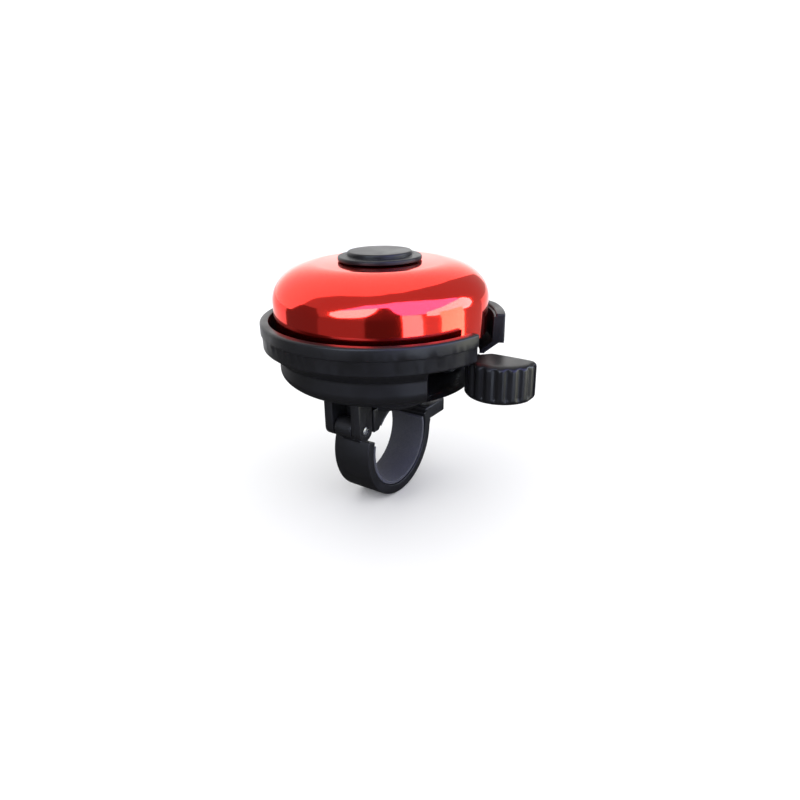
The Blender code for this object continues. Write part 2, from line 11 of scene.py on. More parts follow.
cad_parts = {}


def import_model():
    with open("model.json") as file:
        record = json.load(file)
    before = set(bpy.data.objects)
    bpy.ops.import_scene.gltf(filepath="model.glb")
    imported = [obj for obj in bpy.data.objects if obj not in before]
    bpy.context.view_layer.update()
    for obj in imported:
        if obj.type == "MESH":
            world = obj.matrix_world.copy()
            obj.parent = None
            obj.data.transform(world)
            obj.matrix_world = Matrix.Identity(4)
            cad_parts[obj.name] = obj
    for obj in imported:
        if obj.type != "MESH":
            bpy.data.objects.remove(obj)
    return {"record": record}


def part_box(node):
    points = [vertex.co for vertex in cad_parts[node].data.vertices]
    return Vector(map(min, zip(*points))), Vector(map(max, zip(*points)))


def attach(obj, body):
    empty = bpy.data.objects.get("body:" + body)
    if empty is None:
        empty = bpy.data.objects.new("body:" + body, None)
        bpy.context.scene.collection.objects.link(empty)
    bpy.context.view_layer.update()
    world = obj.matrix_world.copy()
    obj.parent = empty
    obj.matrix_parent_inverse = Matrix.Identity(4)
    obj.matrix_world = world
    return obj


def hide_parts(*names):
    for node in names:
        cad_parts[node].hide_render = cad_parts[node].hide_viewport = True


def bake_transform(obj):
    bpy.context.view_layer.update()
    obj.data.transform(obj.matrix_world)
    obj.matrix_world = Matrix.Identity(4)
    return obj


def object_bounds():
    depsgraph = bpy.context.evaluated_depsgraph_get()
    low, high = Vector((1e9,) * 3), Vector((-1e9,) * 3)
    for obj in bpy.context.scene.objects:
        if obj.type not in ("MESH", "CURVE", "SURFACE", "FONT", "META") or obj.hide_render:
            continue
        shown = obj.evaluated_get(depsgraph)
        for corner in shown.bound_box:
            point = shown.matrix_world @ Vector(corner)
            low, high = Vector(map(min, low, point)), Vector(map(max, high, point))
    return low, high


MM = 0.001
MERGE_DISTANCE = 1.0e-6    # metres

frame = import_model()
CAD_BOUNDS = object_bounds()
RECORD = frame["record"]
BODY_OF = {node: body for body, nodes in RECORD["behaviour"]["bodies"].items() for node in nodes}
SLOT_OF = {entry["node"]: entry["material_slot"] for entry in RECORD["subparts"]}


def cad_box(node):
    """A CAD node's lowest and highest corners, in millimetres."""
    low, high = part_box(node)
    return low / MM, high / MM


def joint_place(name):
    """Where a joint's axis stands in plan, in millimetres."""
    joint = next(j for j in RECORD["behaviour"]["joints"] if j["name"] == name)
    return joint["pos_m"][0] / MM, joint["pos_m"][1] / MM


# --- sizes read from the frame ---
HOUSING_HIGH = cad_box("base_housing")[1]
END_STOP_RISE = 0.7       # the rim's end beyond the opening stands taller than the rest
RIM_Z = HOUSING_HIGH.z - END_STOP_RISE
RIM_R = HOUSING_HIGH.y
DOME_LOW, DOME_HIGH = cad_box("dome")
DOME_R = DOME_HIGH.y
DOME_TOP_Z = DOME_HIGH.z
DOME_SKIRT_Z = DOME_LOW.z
CAP_TOP_Z = cad_box("cap_nut")[1].z
PAD_LOW, PAD_HIGH = cad_box("thumb_pad")
PLATE_LOW, PLATE_HIGH = cad_box("lever_plate")
BAND_HIGH = cad_box("clamp_band")[1]
LEVER_PIVOT = joint_place("thumb_lever")
IDLER = joint_place("idler_spin")

# --- sizes shared with the CAD ---
BAR_R = 11.1
SEAT_R = 12.2
LEDGE_Z = 27.75
BOWL_CORNER = (26.3, 25.0)
BOWL_CENTRE = (10.3, 22.0)
BOWL_BOTTOM_Z = 15.7
FLOOR_Z = 17.2
PEDESTAL_R, PEDESTAL_Z = 11.5, 12.2
WELL_R, WELL_Z = 9.0, 14.6
WINDOW_Z = 18.3
LEVER_GAP_DEG = (-8.0, 24.0)
DOME_WALL = 1.0
SHOULDER_R, SHOULDER_Z = 15.5, 39.0
MODULE = 0.7
SECTOR_TEETH, IDLER_PINION_TEETH, IDLER_WHEEL_TEETH, ROTOR_PINION_TEETH = 36, 10, 26, 12
PAD_R = 8.9
PAD_CENTRE = (32.2, 4.0)
PAD_MIDDLE = (32.4, 1.0)
GROOVES, GROOVE_START_DEG, GROOVE_STEP_DEG, GROOVE_DEPTH = 9, 209.0, 19.0, 0.5
HAMMER_R = 17.0
STRIKER_DEG = 10.0
HINGE_Y, HINGE_Z = -15.2, 8.6
HINGE_KNUCKLE_R, HINGE_KNUCKLE_HALF = 2.6, 2.6
HINGE_PIN_R = 1.0
SCREW_Y = 18.4
RUBBER_HALF = 5.2         # half the width of the saddle's pad and of the band's liner
STOP_INNER_R, STOP_OUTER_R = 28.9, 31.25

PRESSURE_ANGLE = math.radians(20.0)
ADDENDUM, DEDENDUM, BACKLASH = 0.80, 1.15, 0.14

SPRING_R = 4.1
SPRING_WIRE = 0.6
SPRING_START_DEG = -81.0
SPRING_END_DEG = -56.0 + 2 * 360.0
SPRING_Z = (19.55, 20.85)
SPRING_FIXED_LEG, SPRING_LEVER_LEG = 5.2, 8.4

SECTOR_MESH_DEG = math.degrees(math.atan2(IDLER[1] - LEVER_PIVOT[1], IDLER[0] - LEVER_PIVOT[0]))
ROTOR_MESH_DEG = math.degrees(math.atan2(-IDLER[1], -IDLER[0]))

FINE, MEDIUM, COARSE = 192, 96, 48    # steps round a turned piece
WELD = 0.05                           # corners closer than this become one before softening


# --- outlines ---
def polar(radius, degrees, centre=(0.0, 0.0)):
    angle = math.radians(degrees)
    return (centre[0] + radius * math.cos(angle), centre[1] + radius * math.sin(angle))


def arc(radius, start, end, count, centre=(0.0, 0.0), radius_2=None):
    second = radius if radius_2 is None else radius_2
    points = []
    for i in range(count + 1):
        angle = math.radians(start + (end - start) * i / count)
        points.append((centre[0] + radius * math.cos(angle), centre[1] + second * math.sin(angle)))
    return points


def rounded(points, closed=False, steps=4):
    """Round each corner that has a third value, its radius, and keep the others."""
    result = []
    count = len(points)
    for i, point in enumerate(points):
        here = Vector(point[:2])
        radius = point[2] if len(point) > 2 else 0.0
        if radius <= 0.0 or (not closed and i in (0, count - 1)):
            result.append(tuple(here))
            continue
        before = Vector(points[i - 1][:2]) - here
        after = Vector(points[(i + 1) % count][:2]) - here
        corner = before.angle(after)
        reach = min(radius / math.tan(corner / 2), 0.48 * before.length, 0.48 * after.length)
        start, end = here + before.normalized() * reach, here + after.normalized() * reach
        for k in range(steps + 1):
            t = k / steps
            result.append(tuple(start * (1 - t) ** 2 + here * 2 * t * (1 - t) + end * t ** 2))
    return result


def circle(radius, centre=(0.0, 0.0)):
    return arc(radius, 0, 360 - 9, 39, centre=centre)


SPRING_PEG = polar(7.0, -116.0, LEVER_PIVOT)


# --- mesh helpers ---
def add_object(name, data):
    obj = bpy.data.objects.new(name, data)
    bpy.context.scene.collection.objects.link(obj)
    return obj


def object_of(shape, name):
    """Turn a bmesh into an object and free it."""
    mesh = bpy.data.meshes.new(name)
    shape.to_mesh(mesh)
    shape.free()
    return add_object(name, mesh)


def loft(shape, rings):
    """Join rings of equal length with four-sided faces."""
    count = len(rings[0])
    for lower, upper in zip(rings, rings[1:]):
        for k in range(count):
            n = (k + 1) % count
            shape.faces.new((lower[k], lower[n], upper[n], upper[k]))


def shaded(mesh, sharp_deg=32.0):
    mesh.shade_smooth()
    mesh.set_sharp_from_angle(angle=math.radians(sharp_deg))
    return mesh


def baked(obj, sharp_deg=32.0):
    """Turn an object's modifiers, or its curve, into one welded and shaded mesh."""
    bpy.context.view_layer.update()
    mesh = bpy.data.meshes.new_from_object(
        obj.evaluated_get(bpy.context.evaluated_depsgraph_get()))
    name, matrix = obj.name, obj.matrix_world.copy()
    bpy.data.objects.remove(obj, do_unlink=True)
    shape = bmesh.new()
    shape.from_mesh(mesh)
    bmesh.ops.remove_doubles(shape, verts=shape.verts, dist=MERGE_DISTANCE)
    shape.to_mesh(mesh)
    shape.free()
    result = add_object(name, shaded(mesh, sharp_deg))
    result.matrix_world = matrix
    return result


def turned(name, profile, at=(0.0, 0.0), steps=MEDIUM, ring=False):
    """Solid of revolution; the profile runs down the outer side, top to bottom."""
    count = len(profile)
    edges = [(i, i + 1) for i in range(count - 1)] + ([(count - 1, 0)] if ring else [])
    mesh = bpy.data.meshes.new(name)
    mesh.from_pydata([(r * MM, 0.0, z * MM) for r, z in profile], edges, [])
    obj = add_object(name, mesh)
    obj.location = (at[0] * MM, at[1] * MM, 0.0)
    screw = obj.modifiers.new("turn", "SCREW")
    screw.steps = screw.render_steps = steps
    screw.use_merge_vertices = True
    screw.merge_threshold = MERGE_DISTANCE
    return baked(obj)


def cylinder(radius, low, high, at=(0.0, 0.0), axis="Z", sides=MEDIUM):
    shape = bmesh.new()
    bmesh.ops.create_cone(shape, cap_ends=True, segments=sides, radius1=radius * MM,
                          radius2=radius * MM, depth=(high - low) * MM)
    obj = object_of(shape, "cylinder")
    middle = (low + high) / 2 * MM
    if axis == "Z":
        obj.location = (at[0] * MM, at[1] * MM, middle)
    else:
        obj.rotation_euler = (0.0, math.pi / 2, 0.0)
        obj.location = (middle, at[0] * MM, at[1] * MM)
    return obj


def box(low, high, turn_deg=0.0, pivot=(0.0, 0.0), round_r=0.0):
    """Box between two corners, turned about the upright axis through `pivot`."""
    shape = bmesh.new()
    bmesh.ops.create_cube(shape, size=1.0)
    bmesh.ops.scale(shape, vec=[(b - a) * MM for a, b in zip(low, high)], verts=shape.verts)
    if round_r > 0.0:
        bmesh.ops.bevel(shape, geom=shape.edges[:], offset=round_r * MM, segments=4,
                        profile=0.5, affect="EDGES")
    obj = object_of(shape, "box")
    centre = Vector([(a + b) / 2 * MM for a, b in zip(low, high)])
    hub = Matrix.Translation((pivot[0] * MM, pivot[1] * MM, 0.0))
    obj.matrix_world = hub @ Matrix.Rotation(math.radians(turn_deg), 4, "Z") @ \
        Matrix.Translation(centre)
    return obj


def plate(name, outlines, low, high, across=False, at=(0.0, 0.0), edge=0.0):
    """Closed outlines made thick; with `edge`, both rims are chamfered round."""
    curve = bpy.data.curves.new(name, "CURVE")
    curve.dimensions = "2D"
    curve.fill_mode = "BOTH"
    curve.extrude = ((high - low) / 2 - edge) * MM
    curve.bevel_depth = edge * MM
    curve.bevel_resolution = 2
    curve.offset = -edge * MM
    for outline in outlines:
        spline = curve.splines.new("POLY")
        spline.points.add(len(outline) - 1)
        spline.use_cyclic_u = True
        for point, (x, y) in zip(spline.points, outline):
            point.co = (x * MM, y * MM, 0.0, 1.0)
    obj = add_object(name, curve)
    middle = (low + high) / 2 * MM
    if across:
        obj.rotation_euler = (math.pi / 2, 0.0, math.pi / 2)
        obj.location = (middle, at[0] * MM, at[1] * MM)
    else:
        obj.location = (at[0] * MM, at[1] * MM, middle)
    obj = baked(obj)
    if len(outlines) == 1:
        merge_cap_faces(obj)
    return obj


def merge_cap_faces(obj):
    """Make each flat end of a plate without holes one face, which Booleans cut cleanly."""
    shape = bmesh.new()
    shape.from_mesh(obj.data)
    inner = [edge for edge in shape.edges
             if all(abs(face.normal.z) > 0.999 for face in edge.link_faces)]
    bmesh.ops.dissolve_edges(shape, edges=inner, use_verts=False)
    shape.to_mesh(obj.data)
    shape.free()


def combine(target, operation, others, solver="EXACT"):
    for other in others:
        step = target.modifiers.new(operation.lower(), "BOOLEAN")
        step.operation = operation
        step.solver = solver
        step.object = other
    name = target.name
    result = baked(target)
    result.name = name
    for other in others:
        bpy.data.objects.remove(other, do_unlink=True)
    return result


def join(target, *others):
    return combine(target, "UNION", others)


def cut(target, *others):
    return combine(target, "DIFFERENCE", others)


def softened(obj, width, sharp_deg=38.0, segments=2):
    """Round the sharp edges of a finished solid a little, as a mould or a deburr does."""
    shape = bmesh.new()
    shape.from_mesh(obj.data)
    bmesh.ops.remove_doubles(shape, verts=shape.verts, dist=WELD * MM)
    bmesh.ops.dissolve_degenerate(shape, edges=shape.edges, dist=WELD * 0.5 * MM)
    sharp = [edge for edge in shape.edges
             if len(edge.link_faces) == 2 and edge.calc_face_angle() > math.radians(sharp_deg)]
    bmesh.ops.bevel(shape, geom=sharp, offset=width * MM, segments=segments, profile=0.6,
                    affect="EDGES", clamp_overlap=False)
    bmesh.ops.remove_doubles(shape, verts=shape.verts, dist=0.004 * MM)
    shape.to_mesh(obj.data)
    shape.free()
    shaded(obj.data, 40.0)
    return obj


def threaded_rod(name, major, minor, pitch, low, high, at):
    """A screw's shank whose radius follows a helix."""
    sides, rows_per_turn = 40, 8
    rows = int(math.ceil((high - low) / pitch * rows_per_turn))
    shape = bmesh.new()
    grid = []
    for i in range(rows + 1):
        z = low + (high - low) * i / rows
        fade = min(1.0, (high - z) / pitch, (z - low) / pitch)
        ring = []
        for k in range(sides):
            turn = k / sides
            phase = (z / pitch - turn) % 1.0
            crest = 1.0 - abs(2.0 * phase - 1.0)
            radius = minor + (major - minor) * min(1.0, 1.35 * crest) * max(0.0, fade)
            x, y = polar(radius, 360.0 * turn, at)
            ring.append(shape.verts.new((x * MM, y * MM, z * MM)))
        grid.append(ring)
    loft(shape, grid)
    shape.faces.new(list(reversed(grid[0])))
    shape.faces.new(grid[-1])
    rod = object_of(shape, name)
    shaded(rod.data, 50.0)
    return rod


# --- materials ---
PLASTIC_SPECULAR = 0.16


class Surface:
    """A Principled material and short ways to add procedural detail to it."""

    def __init__(self, name, colour, roughness, metallic=0.0):
        self.material = bpy.data.materials.new(name)
        self.material.use_nodes = True
        self.nodes = self.material.node_tree.nodes
        self.links = self.material.node_tree.links
        self.shader = self.nodes["Principled BSDF"]
        self.material.diffuse_color = (*colour, 1.0)
        self.set("Base Color", (*colour, 1.0))
        self.set("Roughness", roughness)
        self.set("Metallic", metallic)
        self.place = self.nodes.new("ShaderNodeTexCoord").outputs["Object"]
        self.height = None

    def set(self, socket, value):
        self.shader.inputs[socket].default_value = value
        return self

    def math(self, operation, a, b=None):
        node = self.nodes.new("ShaderNodeMath")
        node.operation = operation
        for socket, value in zip(node.inputs, (a, b)):
            if isinstance(value, (int, float)):
                socket.default_value = value
            elif value is not None:
                self.links.new(value, socket)
        return node.outputs[0]

    def noise(self, scale, detail=2.0, distortion=0.0, place=None):
        noise = self.nodes.new("ShaderNodeTexNoise")
        noise.inputs["Scale"].default_value = scale
        noise.inputs["Detail"].default_value = detail
        noise.inputs["Distortion"].default_value = distortion
        self.links.new(place or self.place, noise.inputs["Vector"])
        return noise.outputs["Fac"]

    def ramp(self, factor, low, high, first, last):
        """Map a factor between two places onto two values or two colours."""
        node = self.nodes.new("ShaderNodeMapRange")
        node.interpolation_type = "SMOOTHSTEP"
        node.inputs["From Min"].default_value = low
        node.inputs["From Max"].default_value = high
        node.inputs["To Min"].default_value = first
        node.inputs["To Max"].default_value = last
        self.links.new(factor, node.inputs["Value"])
        return node.outputs[0]

    def tint(self, factor, colour_a, colour_b):
        mix = self.nodes.new("ShaderNodeMix")
        mix.data_type = "RGBA"
        mix.inputs["A"].default_value = (*colour_a, 1.0)
        mix.inputs["B"].default_value = (*colour_b, 1.0)
        self.links.new(factor, mix.inputs["Factor"])
        self.links.new(mix.outputs["Result"], self.shader.inputs["Base Color"])
        return self

    def rough(self, factor, low, high, first, last):
        self.links.new(self.ramp(factor, low, high, first, last), self.shader.inputs["Roughness"])
        return self

    def bump(self, factor, depth_mm, strength=1.0):
        """Add relief of a real depth; several stack."""
        node = self.nodes.new("ShaderNodeBump")
        node.inputs["Strength"].default_value = strength
        node.inputs["Distance"].default_value = depth_mm * MM
        self.links.new(factor, node.inputs["Height"])
        if self.height is not None:
            self.links.new(self.height, node.inputs["Normal"])
        self.height = node.outputs["Normal"]
        self.links.new(self.height, self.shader.inputs["Normal"])
        return self

    def turned_place(self):
        """Coordinates that are the same all round the upright axis, for lathe marks."""
        split = self.nodes.new("ShaderNodeSeparateXYZ")
        self.links.new(self.place, split.inputs[0])
        x, y, z = split.outputs
        radius = self.math("SQRT", self.math("ADD", self.math("MULTIPLY", x, x),
                                             self.math("MULTIPLY", y, y)))
        together = self.nodes.new("ShaderNodeCombineXYZ")
        self.links.new(radius, together.inputs[0])
        self.links.new(z, together.inputs[2])
        return together.outputs[0]

    def upward(self):
        """1 where the surface faces up, for settled dust."""
        normal = self.nodes.new("ShaderNodeNewGeometry").outputs["Normal"]
        split = self.nodes.new("ShaderNodeSeparateXYZ")
        self.links.new(normal, split.inputs[0])
        return split.outputs[2]


def moulded(name, colour, roughness, dust):
    """Injection-moulded plastic: fine spark-eroded grain, flow marks, a little settled dust."""
    surface = Surface(name, colour, roughness)
    grain = surface.noise(4200.0, 2.0)
    flow = surface.noise(120.0, 3.0, distortion=0.6)
    specks = surface.noise(900.0, 4.0)
    settled = surface.math("MULTIPLY", surface.ramp(surface.upward(), 0.2, 1.0, 0.0, 1.0),
                           surface.ramp(specks, 0.35, 0.75, 0.15, 1.0))
    patchy = surface.math("MULTIPLY", settled, surface.ramp(flow, 0.3, 0.7, 0.4, 1.0))
    lighter = tuple(min(1.0, c + dust) for c in colour)
    surface.tint(patchy, colour, lighter)
    surface.rough(flow, 0.25, 0.75, roughness - 0.05, roughness + 0.07)
    surface.bump(grain, 0.012, 0.6).bump(flow, 0.02, 0.25)
    surface.set("Specular IOR Level", PLASTIC_SPECULAR)
    return surface.material


def candy_red(name):
    """Polished and red anodised aluminium under a clear coat, with faint lathe marks."""
    surface = Surface(name, (0.80, 0.022, 0.012), 0.12, 1.0)
    broad = surface.noise(70.0, 3.0)
    lathe = surface.noise(5200.0, 1.0, place=surface.turned_place())
    specks = surface.noise(2600.0, 3.0)
    surface.tint(surface.ramp(broad, 0.3, 0.7, 0.0, 1.0), (0.78, 0.020, 0.010),
                 (0.82, 0.025, 0.014))
    surface.rough(specks, 0.3, 0.8, 0.10, 0.14)
    surface.bump(lathe, 0.0015, 0.35).bump(broad, 0.01, 0.12)
    surface.set("Specular Tint", (1.0, 0.45, 0.40, 1.0))
    surface.set("Coat Weight", 0.5).set("Coat Roughness", 0.03).set("Coat IOR", 1.5)
    return surface.material


def metal(name, colour, roughness, marks=0.004):
    """Turned or rolled metal: fine marks, small colour shifts and worn, uneven gloss."""
    surface = Surface(name, colour, roughness, 1.0)
    lathe = surface.noise(6000.0, 2.0, place=surface.turned_place())
    broad = surface.noise(350.0, 4.0)
    darker = tuple(c * (1.0 - 0.12) for c in colour)
    surface.tint(surface.ramp(broad, 0.35, 0.7, 0.0, 1.0), colour, darker)
    surface.rough(broad, 0.3, 0.75, roughness - 0.06, roughness + 0.10)
    surface.bump(lathe, marks, 0.5).bump(broad, 0.006, 0.3)
    return surface.material


def rubbery(name, colour):
    surface = Surface(name, colour, 0.82)
    pores = surface.noise(3200.0, 3.0)
    broad = surface.noise(400.0, 2.0)
    lighter = tuple(c * 1.3 for c in colour)
    surface.tint(surface.ramp(broad, 0.3, 0.8, 0.0, 1.0), colour, lighter)
    surface.rough(pores, 0.3, 0.7, 0.74, 0.90)
    surface.bump(pores, 0.02, 0.7)
    return surface.material


def nylon(name, colour):
    surface = Surface(name, colour, 0.42)
    flow = surface.noise(260.0, 3.0, distortion=0.4)
    warmer = (colour[0], colour[1] * 0.96, colour[2] * 0.86)
    surface.tint(surface.ramp(flow, 0.3, 0.7, 0.0, 1.0), colour, warmer)
    surface.rough(flow, 0.3, 0.7, 0.36, 0.50)
    surface.bump(surface.noise(3000.0, 2.0), 0.008, 0.5)
    surface.set("Subsurface Weight", 0.12).set("Subsurface Scale", 0.0006)
    return surface.material


def make_materials():
    colours = {entry["slot"]: tuple(entry["base_color"][:3]) for entry in RECORD["materials"]}
    return {
        "black_plastic": moulded("black_plastic", (0.008, 0.008, 0.009), 0.38, 0.008),
        "lever_plastic": moulded("lever_plastic", (0.006, 0.006, 0.007), 0.32, 0.006),
        "red_aluminium": candy_red("red_aluminium"),
        "steel": metal("steel", colours["steel"], 0.27),
        "brass": metal("brass", colours["brass"], 0.28),
        "spring_steel": metal("spring_steel", colours["spring_steel"], 0.30, marks=0.002),
        "rubber": rubbery("rubber", (0.014, 0.014, 0.015)),
        "white_nylon": nylon("white_nylon", colours["white_nylon"]),
    }


MATERIALS = make_materials()


def stands_for(obj, node, rides=True):
    """Give a finished piece its material, put it on its body and hide the CAD node."""
    slot = SLOT_OF[node]
    obj.name = node + "_model"
    obj.data.materials.clear()
    obj.data.materials.append(MATERIALS[slot])
    if rides:
        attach(obj, BODY_OF[node])
    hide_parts(node)
    return obj


def washer(node, inner, outer, low, high, at=(0.0, 0.0)):
    """Flat ring with rounded edges, put straight on its body."""
    edge = 0.08
    profile = [(inner, high, edge), (outer, high, edge), (outer, low, edge), (inner, low, edge)]
    ring = turned(node, rounded(profile, closed=True, steps=3), at, ring=True)
    return stands_for(ring, node)


# --- housing ---
def housing_shell():
    centre_r, centre_z = BOWL_CENTRE
    outside = [(28.4, RIM_Z, 0.3), (RIM_R, RIM_Z, 0.6), (RIM_R, 31.6, 0.12), (30.2, 31.4, 0.12),
               (30.1, 28.1, 0.2), (29.8, LEDGE_Z, 0.3), (*BOWL_CORNER, 0.8)]
    outside += arc(BOWL_CORNER[0] - centre_r, 0, -85, 30, centre=BOWL_CENTRE,
                   radius_2=centre_z - BOWL_BOTTOM_Z)
    outside += [(PEDESTAL_R + 0.1, BOWL_BOTTOM_Z - 0.05, 0.5), (PEDESTAL_R, PEDESTAL_Z)]
    inside = [(WELL_R, WELL_Z, 0.2), (WELL_R + 0.6, FLOOR_Z, 0.3)]
    inside += arc(14.8, -75, 0, 18, centre=BOWL_CENTRE, radius_2=centre_z - FLOOR_Z)
    inside += [(25.1, 25.6, 0.6), (28.2, 28.0, 0.5)]
    loop = [(0.0, WELL_Z)] + inside + outside + [(0.0, PEDESTAL_Z)]
    return turned("base_housing", rounded(loop), steps=FINE)


def window_outline():
    """Opening for the lever: a straight side towards the rider, then round to the swing."""
    across = Vector((math.cos(math.radians(36.0)), math.sin(math.radians(36.0))))
    along = Vector((-across.y, across.x))
    near, far = (across * 10.0 - along * 34.0), (across * 10.0 - along * 19.5)
    return [tuple(far), tuple(near), (34.0, -22.0), (42.0, 0.0)]


def low_window_outline():
    """The arm's opening runs on below the rim to where the lever's full swing ends."""
    return window_outline() + [polar(40.0, 40.0), polar(34.0, 51.0), polar(19.5, 51.0),
                               polar(21.0, 10.0)]


def high_window_outline():
    end = LEVER_GAP_DEG[1]
    return window_outline() + [polar(40.0, end), polar(21.0, end)]


def notch_outline():
    start, end = LEVER_GAP_DEG
    return arc(33.0, start, end, 10) + [polar(24.0, end), polar(24.0, start)]


def end_stop():
    """Thicker and taller stretch of the rim beyond the opening, with rounded edges."""
    end = LEVER_GAP_DEG[1]
    outline = [polar(STOP_INNER_R, end), (*polar(STOP_OUTER_R, end), 0.5)]
    outline += arc(STOP_OUTER_R, end + 2.0, end + 22.0, 20)
    outline += [(*polar(31.2, end + 25.0), 2.0), polar(30.25, end + 38.0),
                polar(STOP_INNER_R, end + 38.0)]
    outline += arc(STOP_INNER_R, end + 36.0, end + 2.0, 17)
    stop = plate("end_stop", [rounded(outline, closed=True)], LEDGE_Z, RIM_Z + END_STOP_RISE)
    return softened(stop, 0.5, sharp_deg=50.0, segments=4)


def base_housing():
    half = BAND_HIGH.x
    lug_end = BAND_HIGH.y
    body = housing_shell()
    saddle = box((-half, -11.9, 7.0), (half, 11.9, 13.2), round_r=0.3)
    screw_lug = box((-half, 11.0, 7.5), (half, lug_end, 16.5), round_r=0.5)
    outline = arc(HINGE_KNUCKLE_R, 180, 360, 24, centre=(HINGE_Y, HINGE_Z))
    outline += [(HINGE_Y + HINGE_KNUCKLE_R, 16.4), (HINGE_Y - HINGE_KNUCKLE_R, 16.4)]
    knuckles = [plate("knuckle", [outline], low, high, across=True)
                for low, high in ((-half, -2.9), (2.9, half))]
    lever_boss = cylinder(3.0, 17.15, 21.2, LEVER_PIVOT)
    idler_boss = cylinder(2.6, 16.2, 20.7, IDLER)
    spring_peg = cylinder(1.0, 16.0, 20.9, SPRING_PEG, sides=COARSE)
    body = join(body, saddle, screw_lug, *knuckles, lever_boss, idler_boss, spring_peg)
    body = combine(body, "UNION", [end_stop()], solver="MANIFOLD")
    body = cut(
        body,
        cylinder(SEAT_R, -20.0, 20.0, axis="X", sides=FINE),
        plate("low_window", [low_window_outline()], WINDOW_Z, BOWL_CORNER[1] - 0.1),
        plate("high_window", [high_window_outline()], WINDOW_Z, 27.6),
        plate("notch", [notch_outline()], 27.3, 36.0),
        cylinder(2.7, 10.0, 16.0),
        cylinder(4.2, 10.0, 13.4),
        cylinder(1.12, -8.0, 8.0, (HINGE_Y, HINGE_Z), axis="X", sides=COARSE),
        cylinder(1.8, 5.0, 13.4, (0.0, SCREW_Y), sides=COARSE),
        box((-2.9, SCREW_Y - 3.4, 9.7), (2.9, lug_end + 1.0, 12.4)),
        cylinder(1.4, 17.6, 23.0, LEVER_PIVOT, sides=COARSE),
        cylinder(1.15, 17.0, 23.0, IDLER, sides=COARSE),
    )
    return stands_for(softened(body, 0.16), "base_housing")


def saddle_pad():
    outline = arc(12.0, 42, 138, 60) + arc(BAR_R + 0.1, 138, 42, 60)
    pad = plate("saddle_pad", [outline], -RUBBER_HALF, RUBBER_HALF, across=True)
    return stands_for(softened(pad, 0.12, sharp_deg=50.0), "saddle_pad")


# --- centre post, dome and cap ---
def center_post():
    profile = rounded([
        (0, 49.0), (1.35, 49.0, 0.2), (1.75, 48.5, 0.1), (1.75, 30.95), (2.0, 30.95, 0.08),
        (2.0, 24.4), (3.0, 24.4, 0.15), (3.0, 16.0), (5.0, 16.0, 0.2), (5.0, 14.8, 0.15),
        (2.5, 14.8), (2.5, 13.2), (3.8, 13.2, 0.15), (3.6, 12.6, 0.4), (2.6, 12.4, 0.3),
        (0, 12.4)])
    return stands_for(turned("center_post", profile), "center_post")


def hex_nut(node, flats, hole, low, high, at):
    """Nut with chamfered corners, two of its flats facing along X."""
    corners = arc(flats / math.sqrt(3), 30, 330, 5)
    body = plate(node, [corners], low, high, at=at)
    slope = flats / math.sqrt(3) - flats / 2
    chamfer = rounded([(0.0, high), (flats / 2 - 0.1, high), (flats / 2 + slope, high - 0.5),
                       (flats / 2 + slope, low + 0.5), (flats / 2 - 0.1, low), (0.0, low)])
    body = combine(body, "INTERSECT", [turned("chamfer", chamfer, at)])
    bore = rounded([(0.0, high + 1.0), (hole + 1.0, high + 1.0), (hole, high - 0.35),
                    (hole, low + 0.35), (hole + 1.0, low - 1.0), (0.0, low - 1.0)])
    return stands_for(cut(body, turned("bore", bore, at)), node)


def dome_spacer():
    profile = rounded([(3.75, 46.2, 0.15), (5.0, 46.2, 0.2), (5.0, 33.35, 0.2), (1.95, 33.35),
                       (1.95, 43.2), (3.75, 43.2)], closed=True)
    return stands_for(turned("dome_spacer", profile, ring=True), "dome_spacer")


def dome_side(inset, count):
    """Outer side of the dome, or its inner side when moved in by the wall's thickness."""
    crown_drop = 0.22
    rise = DOME_TOP_Z - SHOULDER_Z - inset
    crown = []
    for i in range(10):
        radius = 3.75 + (SHOULDER_R - 3.75) * i / 10
        crown.append((radius, DOME_TOP_Z - inset - crown_drop * (radius / SHOULDER_R) ** 2))
    shoulder = arc(DOME_R - SHOULDER_R - inset, 90, 0, count, centre=(SHOULDER_R, SHOULDER_Z),
                   radius_2=rise - crown_drop)
    return crown + shoulder


def dome():
    """Spun gong with a rounded lower edge and two striking ribs inside."""
    lip = DOME_WALL / 2
    outer = dome_side(0.0, 56)
    inner = dome_side(DOME_WALL, 40)
    edge = arc(lip, 0, -180, 10, centre=(DOME_R - 0.2 - lip, DOME_SKIRT_Z + lip))
    shell = turned("dome", outer + edge + inner[::-1], steps=FINE + 64, ring=True)
    ribs = [box((23.5, -1.5, 31.9), (26.35, 1.5, 38.5), turn_deg=turn, round_r=0.4)
            for turn in (65.0, 245.0)]
    return stands_for(join(shell, *ribs), "dome")


def cap_nut():
    """Two-step cap with a groove between the steps and a threaded neck below."""
    profile = rounded([
        (0, CAP_TOP_Z - 0.05), (4.0, CAP_TOP_Z), (8.0, CAP_TOP_Z, 0.55), (8.0, 49.35, 0.1),
        (8.25, 49.2, 0.1), (8.6, 49.35, 0.15), (10.4, 49.3, 0.45), (10.4, 48.3, 0.15),
        (7.3, 48.3), (7.3, 48.9), (3.5, 48.9, 0.2), (3.5, 43.5, 0.3), (1.95, 43.5, 0.2),
        (1.95, 49.2), (0, 49.2)], steps=6)
    return stands_for(turned("cap_nut", profile, steps=FINE), "cap_nut")


# --- gears ---
def involute(angle):
    return math.tan(angle) - angle


